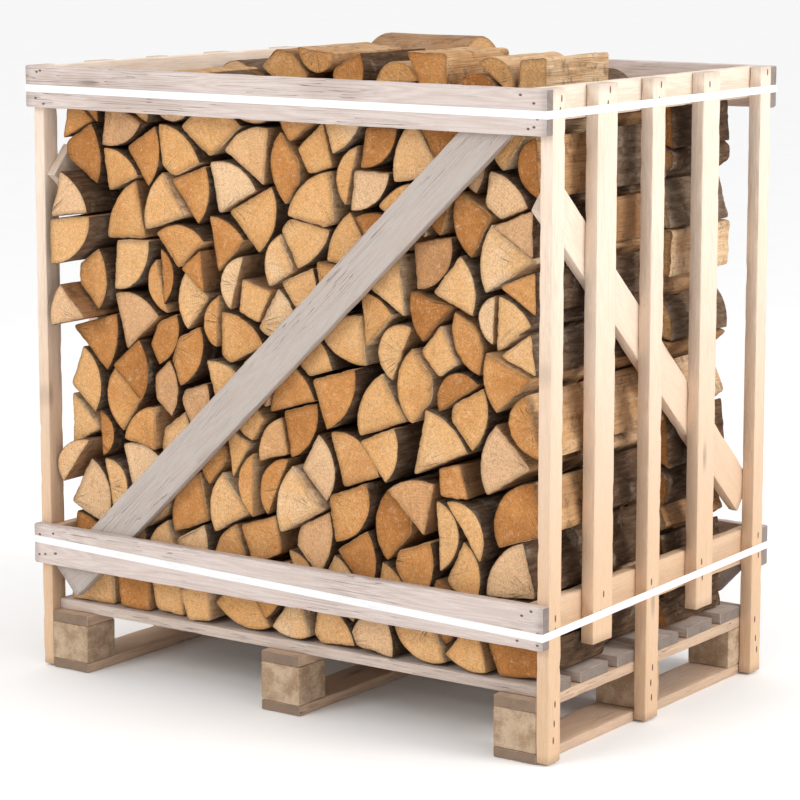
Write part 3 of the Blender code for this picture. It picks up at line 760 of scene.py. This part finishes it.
def split_log(fabric, corners, front, back, rng, tilt, fine=True, step=LOOP_STEP, lie=None, peeled=False):
    """One split log from front to back; lie turns its points when it doesn't point at the front."""
    loop, bark, centre, pith = log_loop(corners, rng, step)
    if peeled:
        bark = np.zeros(len(loop), bool)
    elif abs(centre[0]) > SIDE_LOGS and rng.random() < SIDE_BARK:
        bark = bark | ((loop[:, 0] - centre[0]) * np.sign(centre[0]) > 0.012)
    size = len(loop)
    length = back - front
    sides = [BARK if b else SPLIT_FACE for b in bark]
    lean = np.array((rng.uniform(-tilt, tilt), rng.uniform(-tilt, tilt)))
    lean_back = np.array((rng.uniform(-tilt, tilt), rng.uniform(-tilt, tilt)))
    start = (loop - centre) @ lean
    start -= start.min()
    finish = (loop - centre) @ lean_back
    finish -= finish.max()
    outward = loop - centre
    outward /= np.linalg.norm(outward, axis=1)[:, None]
    reach = np.arange(size) * step
    ridges = [waves(rng, 4, 0.016, 0.05) for _ in range(3)]
    swell = [waves(rng, 2, 0.08, 0.3) for _ in range(3)]
    shares = FINE_SHARES if fine else COARSE_SHARES
    tone = np.array((rng.random(), rng.random(), rng.random()))

    def layer(points_2d, y, rim):
        points = np.column_stack((points_2d[:, 0], y, points_2d[:, 1]))
        grain = np.column_stack((points_2d[:, 0] - pith[0], y, points_2d[:, 1] - pith[1]))
        if lie is not None:
            points = lie(points)
        tones = np.tile(tone, (len(points), 1))
        return fabric.add(points, grain=grain, tone=tones, rim=np.full(len(points), rim))

    loops = []
    for number, share in enumerate(shares):
        at_end = number in (0, len(shares) - 1)
        y = (front + start) * (1 - share) + (back + finish) * share
        drift = share * 0.35
        rough = ridges[0](reach + drift * 0.2) * ridges[1](reach * 0.6 + share * length * 1.7)
        dip = np.where(bark, BARK_ROUGH * rough, SPLIT_ROUGH * swell[0](share * length + reach * 0.5))
        dip = dip * min(1.0, 5.0 * share + 0.25) + (END_ROUND if at_end else 0.0)
        # the loops at the ends' edges get rim 0, where the end grain is painted darkest as edge shade
        loops.append(layer(loop - outward * dip[:, None], y, 0.0 if at_end else 1.0))
    for first, second in zip(loops, loops[1:]):
        fabric.band(first, second, size, sides)
    hollow = [waves(rng, 2, 0.02, 0.07) for _ in range(2)]
    ends = ((loops[0], front, start, lean, 1.0, False), (loops[-1], back, finish, lean_back, -1.0, True))
    for edge, place, plane, slope, sign, outward_end in ends:
        base = (loop - centre) @ slope
        shift = plane[0] - base[0]
        ring = edge
        for scale in END_RINGS if fine else ():
            inner = centre + (loop - centre) * scale
            dent = hollow[0](inner[:, 0] * 1.3) * hollow[1](inner[:, 1] * 1.2) * END_HOLLOW
            y = place + (inner - centre) @ slope + shift + sign * dent
            # the outer ring gets rim 0.35, so the painted edge shade fades out inwards
            nearer = layer(inner, y, 0.35 if scale > 0.9 else 1.0)
            if outward_end:
                fabric.band(ring, nearer, size, [END_GRAIN] * size)
            else:
                fabric.band(nearer, ring, size, [END_GRAIN] * size)
            ring = nearer
        middle = layer(centre[None], np.array([place + shift + sign * END_DOME]), 1.0)
        fabric.fan(ring, middle, size, END_GRAIN, outward_end)


def brace_height(x):
    """Height of the front brace's upper edge."""
    _, edges = timber_axes("front_brace")
    along = edges[0] / np.linalg.norm(edges[0]) * np.sign(edges[0][0])
    up = np.array((-along[2], 0.0, along[0]))
    reach = max(up @ np.array(v.co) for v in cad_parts["front_brace"].data.vertices)
    return (reach - up[0] * x) / up[2]


def outermost(corners, others):
    """True if no other log lies further out at the same height on the same side."""
    side = np.sign(corners[:, 0].mean())
    low, high = corners[:, 1].min(), corners[:, 1].max()
    for other in others:
        beyond = (other[:, 0].mean() - corners[:, 0].mean()) * side > SAME_PLACE
        if beyond and min(high, other[:, 1].max()) - max(low, other[:, 1].min()) > SAME_HEIGHT:
            return False
    return True


def spread_out(corners, y, others, front, rng):
    """The outermost log of the front row reaches out to the side; at the left end it may stand proud."""
    side = np.sign(corners[:, 0].mean())
    rail_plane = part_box("right_top_rail")[0].x
    gap = rail_plane - np.abs(corners[:, 0]).max()
    place = front + (y - front) * EVENNESS
    if gap > SIDE_STRETCH or not outermost(corners, others):
        return corners, place
    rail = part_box("left_top_rail")[0].z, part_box("left_bottom_rail")[1].z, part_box("left_bottom_rail")[0].z
    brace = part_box("left_brace")[1].z
    low, high = corners[:, 1].min(), corners[:, 1].max()
    clear = low > brace or high < brace - BRACE_SPAN
    free = high < rail[2] or (high < rail[0] and low > rail[1] and clear)
    goal = rail_plane + (SIDE_SPREAD if free else -RAIL_ROOM)
    inner, outer = np.abs(corners[:, 0]).min(), np.abs(corners[:, 0]).max()
    wide = np.abs(corners[:, 0])
    wide = inner + (wide - inner) * (goal - inner) / (outer - inner)
    above = low > brace_height(-inner) + BRACE_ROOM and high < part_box("front_top_board")[0].z - BOARD_ROOM
    if side < 0 and above:
        place = front - rng.uniform(PROUD_LEAST if free else PROUD_MOST * PROUD_NARROW, PROUD_MOST)
    return np.column_stack((side * wide, corners[:, 1])), place


def log_rows():
    """The front of the first row of logs and the distance from each row to the next."""
    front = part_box("front_brace")[1].y + BRACE_GAP
    back = max(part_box(node)[1].y for node in STACK_NODES)
    return front, (back - front + ROW_JOINT) / ROW_COUNT


def log_materials(settings):
    """End grain, split face and bark."""
    if "log_end_grain" not in bpy.data.materials:
        log_end_finish(settings)
        log_split_finish(settings)
        bark_finish(settings)
    return [bpy.data.materials[name] for name in ("log_end_grain", "log_split_face", "bark")]


# ---------------------------------------------------------------- settings

def colour_setting(name, description, default):
    return bpy.props.FloatVectorProperty(name=name, description=description, default=default, size=3,
                                         min=0.0, max=1.0, subtype="COLOR")


def length_setting(name, description, default):
    return bpy.props.FloatProperty(name=name, description=description, default=default, min=0.0,
                                   unit="LENGTH", subtype="DISTANCE")


class FIREWOOD_PG_logs(bpy.types.PropertyGroup):
    """Colours, end tilt and recess of the split logs."""
    end_dark: colour_setting("Dark end", "Deepest brown of the sawn ends", (0.42, 0.165, 0.045))
    end_brown: colour_setting("Brown end", "Orange brown of the sawn ends", (0.64, 0.285, 0.090))
    end_orange: colour_setting("Orange end", "Commonest colour of the sawn ends", (0.80, 0.430, 0.170))
    end_tan: colour_setting("Tan end", "Lighter ends", (0.86, 0.520, 0.250))
    end_cream: colour_setting("Cream end", "Palest ends", (0.93, 0.670, 0.430))
    split_brown: colour_setting("Brown split", "Darkest streaks of a split face", (0.30, 0.140, 0.060))
    split_tan: colour_setting("Tan split", "Most of a split face", (0.66, 0.390, 0.190))
    split_cream: colour_setting("Cream split", "Fresh split wood", (0.92, 0.680, 0.450))
    bark_dark: colour_setting("Dark bark", "Furrows", (0.022, 0.012, 0.007))
    bark_brown: colour_setting("Brown bark", "Most of the bark", (0.135, 0.080, 0.048))
    bark_grey: colour_setting("Grey bark", "Weathered ridges", (0.300, 0.225, 0.165))
    bark_lichen: colour_setting("Lichen", "Pale patches", (0.290, 0.240, 0.175))
    tilt: bpy.props.FloatProperty(name="End tilt", description="Steepest slope of a sawn end", default=0.09,
                                  min=0.0, max=0.5)
    recess: length_setting("Recess", "How far a log end may stand back from its neighbours", 0.004)


class FIREWOOD_PG_timber(bpy.types.PropertyGroup):
    """Colours and wear of the crate and pallet timber."""
    weathered_face: colour_setting("Weathered", "Long boards", (0.69, 0.600, 0.560))
    weathered_streak: colour_setting("Weathered grain", "Grain of the long boards", (0.46, 0.340, 0.280))
    weathered_stain: colour_setting("Weathered stain", "Grey and brown patches", (0.50, 0.400, 0.350))
    brace_face: colour_setting("Brace", "Grey braces of the long sides", (0.50, 0.450, 0.415))
    fresh_face: colour_setting("Fresh", "Posts, slats and rails", (0.88, 0.740, 0.620))
    fresh_streak: colour_setting("Fresh grain", "Grain of the posts and slats", (0.72, 0.530, 0.380))
    fresh_stain: colour_setting("Fresh stain", "Darker patches", (0.78, 0.600, 0.460))
    # the posts, slats and rails are mixed towards tan lower down: darker and more orange towards the floor
    tan: colour_setting("Tan", "What the timber turns to near the floor", (0.66, 0.400, 0.210))
    deck_face: colour_setting("Deck", "Pallet boards", (0.62, 0.520, 0.450))
    runner_face: colour_setting("Runner", "Stringers and skids", (0.66, 0.460, 0.310))
    block_face: colour_setting("Block", "Pallet blocks", (0.56, 0.420, 0.290))
    block_dark: colour_setting("Block dirt", "Dirty patches", (0.36, 0.240, 0.150))
    block_pale: colour_setting("Block chips", "Pale torn fibres", (0.68, 0.530, 0.390))
    nail_steel: colour_setting("Nail", "Steel", (0.22, 0.20, 0.19))
    nail_rust: colour_setting("Rust", "Rust round a nail", (0.16, 0.075, 0.040))
    bruise: colour_setting("Bruise", "Wood crushed by a nail", (0.16, 0.11, 0.09))
    wear: bpy.props.FloatProperty(name="Wear", description="How worn the edges are", default=1.0,
                                  min=0.0, max=3.0)


class FIREWOOD_PG_straps(bpy.types.PropertyGroup):
    """Colours of the straps."""
    strap_colour: colour_setting("Strap", "Plastic", (0.84, 0.845, 0.85))
    strap_dust: colour_setting("Dust", "Dust on the strap", (0.70, 0.68, 0.66))


class FIREWOOD_PG_stage(bpy.types.PropertyGroup):
    """Floor colour and camera."""
    floor_colour: colour_setting("Floor", "Pale floor", (0.93, 0.93, 0.93))
    camera_place: bpy.props.FloatVectorProperty(name="Camera", description="Where the camera stands",
                                                default=(3.398, -4.797, 1.611), size=3, unit="LENGTH",
                                                subtype="TRANSLATION")
    camera_yaw: bpy.props.FloatProperty(name="Yaw", description="How far the camera turns left of the back",
                                        default=math.radians(35.32), unit="ROTATION", subtype="ANGLE")
    camera_pitch: bpy.props.FloatProperty(name="Pitch", description="How far the camera looks down",
                                          default=math.radians(8.80), unit="ROTATION", subtype="ANGLE")
    camera_lens: bpy.props.FloatProperty(name="Lens", description="Focal length in millimetres", default=130.5,
                                         unit="CAMERA")
    camera_shift: bpy.props.FloatProperty(name="Shift", default=-0.08,
                                          description="Share of the frame that the view is raised by")


# ---------------------------------------------------------------- operators

def board_materials(kind, settings):
    """The long-grain and end-grain finishes of one kind of timber."""
    face = getattr(settings, kind + "_face")
    if kind + "_grain" not in bpy.data.materials:
        streak = settings.fresh_streak if kind == "fresh" else settings.weathered_streak
        stain = settings.fresh_stain if kind == "fresh" else settings.weathered_stain
        low = settings.tan if kind == "fresh" else face
        board_finish(kind + "_grain", (face, low), streak, stain, 0.25 if kind == "fresh" else 1.0)
        # end grain is a share of the face colour, 0.80 for fresh timber and 0.45 for the rest: partly the real
        # darker end grain, partly painted shade on the deck and stringer ends that lie in the shadow under the
        # logs
        share = 0.80 if kind == "fresh" else 0.45
        end_grain_finish(kind + "_end", [c * share for c in face], [c * share for c in streak])
    return [bpy.data.materials[kind + "_grain"], bpy.data.materials[kind + "_end"]]


def timbers(context, nodes, slot, kind):
    """Worn timbers of one kind."""
    settings = context.scene.firewood_timber
    for node in nodes:
        timber(node, slot, board_materials(kind, settings), settings.wear)
    return {"FINISHED"}


class FIREWOOD_OT_pallet(bpy.types.Operator):
    """Blocks, skids, stringers and deck boards"""
    bl_idname = "firewood.pallet"
    bl_label = "Pallet"

    def execute(self, context):
        settings = context.scene.firewood_timber
        block = block_finish(settings)
        for node in PALLET_BLOCKS:
            timber(node, "pallet_wood", [block, block], settings.wear, along=1)
        timbers(context, PALLET_SKIDS, "pallet_wood", "runner")
        timbers(context, PALLET_STRINGERS, "weathered_board", "runner")
        return timbers(context, DECK_BOARDS, "weathered_board", "deck")


class FIREWOOD_OT_uprights(bpy.types.Operator):
    """Corner posts and side slats"""
    bl_idname = "firewood.uprights"
    bl_label = "Posts and slats"

    def execute(self, context):
        return timbers(context, UPRIGHTS, "fresh_board", "fresh")


class FIREWOOD_OT_rails(bpy.types.Operator):
    """Side rails and side braces"""
    bl_idname = "firewood.rails"
    bl_label = "Rails and side braces"

    def execute(self, context):
        return timbers(context, SIDE_RAILS, "fresh_board", "fresh")


class FIREWOOD_OT_long_boards(bpy.types.Operator):
    """Boards and braces of the front and back"""
    bl_idname = "firewood.long_boards"
    bl_label = "Long boards and braces"

    def execute(self, context):
        timbers(context, LONG_BOARDS, "weathered_board", "weathered")
        return timbers(context, LONG_BRACES, "weathered_board", "brace")


class FIREWOOD_OT_nails(bpy.types.Operator):
    """Nail heads and the bruised wood round them"""
    bl_idname = "firewood.nails"
    bl_label = "Nails"

    def execute(self, context):
        settings = context.scene.firewood_timber
        heads, bruises = Fabric(), Fabric()
        for place, out, along in nail_places():
            disc(bruises, place, out, along, DOT_LONG if out[1] else DENT_LONG, DENT_WIDE, DENT_DOME)
            disc(heads, place, out, along, NAIL_RADIUS, NAIL_RADIUS, NAIL_DOME)
        fix(bruises.build("nail_bruises", [dent_finish(settings)]), "fresh_board")
        fix(heads.build("nail_heads", [nail_finish(settings)]), "fresh_board")
        return {"FINISHED"}


class FIREWOOD_OT_straps(bpy.types.Operator):
    """White finish of the two straps"""
    bl_idname = "firewood.straps"
    bl_label = "Straps"

    def execute(self, context):
        finish = strap_finish(context.scene.firewood_straps)
        for node in STRAPS:
            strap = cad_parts[node]
            strap.data.materials.clear()
            strap.data.materials.append(finish)
        return {"FINISHED"}


class FIREWOOD_OT_stack(bpy.types.Operator):
    """The three rows of stacked logs"""
    bl_idname = "firewood.stack"
    bl_label = "Stacked logs"

    def execute(self, context):
        settings = context.scene.firewood_logs
        materials = log_materials(settings)
        front, pitch = log_rows()
        length = pitch - ROW_JOINT
        outlines = {node: end_outlines(node, front, END_REACH) for node in STACK_NODES}
        others = [corners for logs in outlines.values() for corners, _ in logs]
        for node in STACK_NODES:
            rng = random.Random(node)
            fabric = Fabric()
            for corners, y in outlines[node]:
                back = front + length - rng.uniform(0.0, 0.010)
                recess = settings.recess * rng.random() ** 2
                outer, place = spread_out(corners, y, others, front, rng)
                split_log(fabric, outer, place + recess, back, rng, settings.tilt)
                split_log(fabric, corners, front + pitch + rng.uniform(0.0, 0.008),
                          back + pitch - rng.uniform(0.0, 0.006), rng, settings.tilt, fine=False)
                mirrored = corners[::-1] * (-1.0, 1.0)
                split_log(fabric, mirrored, front + 2 * pitch + rng.uniform(0.0, 0.010),
                          front + 3 * pitch - ROW_JOINT - recess, rng, settings.tilt)
            fix(fabric.build(node.replace("layer", "course"), materials), "log_wood", node)
        return {"FINISHED"}


class FIREWOOD_OT_heap(bpy.types.Operator):
    """Logs heaped on the middle row"""
    bl_idname = "firewood.heap"
    bl_label = "Heap"

    def execute(self, context):
        settings = context.scene.firewood_logs
        for node in HEAP_NODES:
            rng = random.Random(node)
            low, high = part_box(node)
            fabric = Fabric()
            for corners, y in end_outlines(node, low.y, END_REACH):
                split_log(fabric, corners, y, high.y - rng.uniform(0.0, 0.012), rng, settings.tilt,
                          peeled=rng.random() < 0.75)
            fix(fabric.build(node + "_logs", log_materials(settings)), "log_wood", node)
        return {"FINISHED"}


class FIREWOOD_OT_crossways(bpy.types.Operator):
    """The log that lies across the back row"""
    bl_idname = "firewood.crossways"
    bl_label = "Crossways log"

    def execute(self, context):
        settings = context.scene.firewood_logs
        rng = random.Random("crossways_log")
        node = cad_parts["crossways_log"]
        low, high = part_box("crossways_log")
        points = np.unique(np.round([v.co for v in node.data.vertices], 5), axis=0)
        end = points[points[:, 0] < low.x + 0.001][:, 1:]
        centre = end.mean(axis=0)
        end = end[np.argsort(np.arctan2(end[:, 1] - centre[1], end[:, 0] - centre[0]))]

        def lie(points):
            return np.column_stack((points[:, 1], -points[:, 0], points[:, 2]))

        fabric = Fabric()
        split_log(fabric, end[::-1] * (-1.0, 1.0), low.x, high.x, rng, settings.tilt, lie=lie, peeled=True)
        piece = fabric.build("crossways_log_split", log_materials(settings))
        fix(piece, "log_wood", "crossways_log")
        return {"FINISHED"}


FLOOR_REACH = 90.0
FLOOR_DROP = 0.0005          # the floor lies this far below the skids
CAMERA_SENSOR = 36.0         # millimetres
CAMERA_RANGE = 300.0
LIGHTS = (                   # name, place, aim, size, watts, colour
    ("key", (-1.2, -5.0, 3.4), (0.0, 0.0, 0.6), 2.0, 90.0, (1.0, 0.99, 0.98)),
    ("side", (5.2, 0.6, 3.0), (0.3, 0.0, 0.6), 1.8, 140.0, (1.0, 0.985, 0.965)),
)


def area_light(name, place, aim, size, power, colour):
    """A soft square light that looks at a point."""
    light = bpy.data.lights.new(name, "AREA")
    light.size = size
    light.energy = power
    light.color = colour
    thing = bpy.data.objects.new(name, light)
    bpy.context.scene.collection.objects.link(thing)
    thing.location = place
    thing.rotation_euler = (Vector(aim) - Vector(place)).to_track_quat("-Z", "Y").to_euler()


class FIREWOOD_OT_stage(bpy.types.Operator):
    """Pale floor, soft lights and the camera"""
    bl_idname = "firewood.stage"
    bl_label = "Stage"

    def execute(self, context):
        scene = context.scene
        settings = scene.firewood_stage
        mesh = bpy.data.meshes.new("floor")
        turns = ((-1, -1), (1, -1), (1, 1), (-1, 1))
        mesh.from_pydata([(x * FLOOR_REACH, y * FLOOR_REACH, 0) for x, y in turns], [], [(0, 1, 2, 3)])
        mesh.materials.append(floor_finish(settings))
        floor = bpy.data.objects.new("studio_floor", mesh)
        scene.collection.objects.link(floor)
        floor.location.z = -FLOOR_DROP
        scene.view_settings.view_transform = "Standard"
        world = bpy.data.worlds.new("studio")
        world.use_nodes = True
        sky = world.node_tree.nodes["Background"]
        sky.inputs["Color"].default_value = (1.0, 1.0, 1.0, 1.0)
        sky.inputs["Strength"].default_value = 1.0
        scene.world = world
        for light in LIGHTS:
            area_light(*light)
        camera = bpy.data.cameras.new("camera")
        camera.sensor_width = CAMERA_SENSOR
        camera.lens = settings.camera_lens
        camera.shift_y = settings.camera_shift
        camera.clip_end = CAMERA_RANGE
        thing = bpy.data.objects.new("camera", camera)
        scene.collection.objects.link(thing)
        thing.location = settings.camera_place
        thing.rotation_euler = (math.pi / 2 - settings.camera_pitch, 0.0, settings.camera_yaw)
        scene.camera = thing
        return {"FINISHED"}


class FIREWOOD_PT_panel(bpy.types.Panel):
    """Lists the operators"""
    bl_idname = "FIREWOOD_PT_panel"
    bl_label = "Pallet of Firewood"
    bl_space_type = "VIEW_3D"
    bl_region_type = "UI"
    bl_category = "Firewood"

    def draw(self, context):
        for operator in OPERATORS:
            self.layout.operator(operator.bl_idname)


GROUPS = {
    "firewood_logs": FIREWOOD_PG_logs,
    "firewood_timber": FIREWOOD_PG_timber,
    "firewood_straps": FIREWOOD_PG_straps,
    "firewood_stage": FIREWOOD_PG_stage,
}
OPERATORS = (
    FIREWOOD_OT_stage, FIREWOOD_OT_pallet, FIREWOOD_OT_uprights, FIREWOOD_OT_rails, FIREWOOD_OT_long_boards,
    FIREWOOD_OT_nails, FIREWOOD_OT_straps, FIREWOOD_OT_stack, FIREWOOD_OT_heap, FIREWOOD_OT_crossways,
)


def register():
    """Make the settings, operators and panel known to Blender."""
    for name, group in GROUPS.items():
        bpy.utils.register_class(group)
        setattr(bpy.types.Scene, name, bpy.props.PointerProperty(type=group))
    for kind in (*OPERATORS, FIREWOOD_PT_panel):
        bpy.utils.register_class(kind)


def unregister():
    """Take them away again."""
    for kind in reversed((*OPERATORS, FIREWOOD_PT_panel)):
        bpy.utils.unregister_class(kind)
    for name, group in reversed(GROUPS.items()):
        delattr(bpy.types.Scene, name)
        bpy.utils.unregister_class(group)


def main():
    """Build every piece in order."""
    register()
    for operator in OPERATORS:
        family, name = operator.bl_idname.split(".")
        if getattr(getattr(bpy.ops, family), name)() != {"FINISHED"}:
            raise RuntimeError(operator.bl_idname + " didn't finish")


if __name__ == "__main__":
    main()
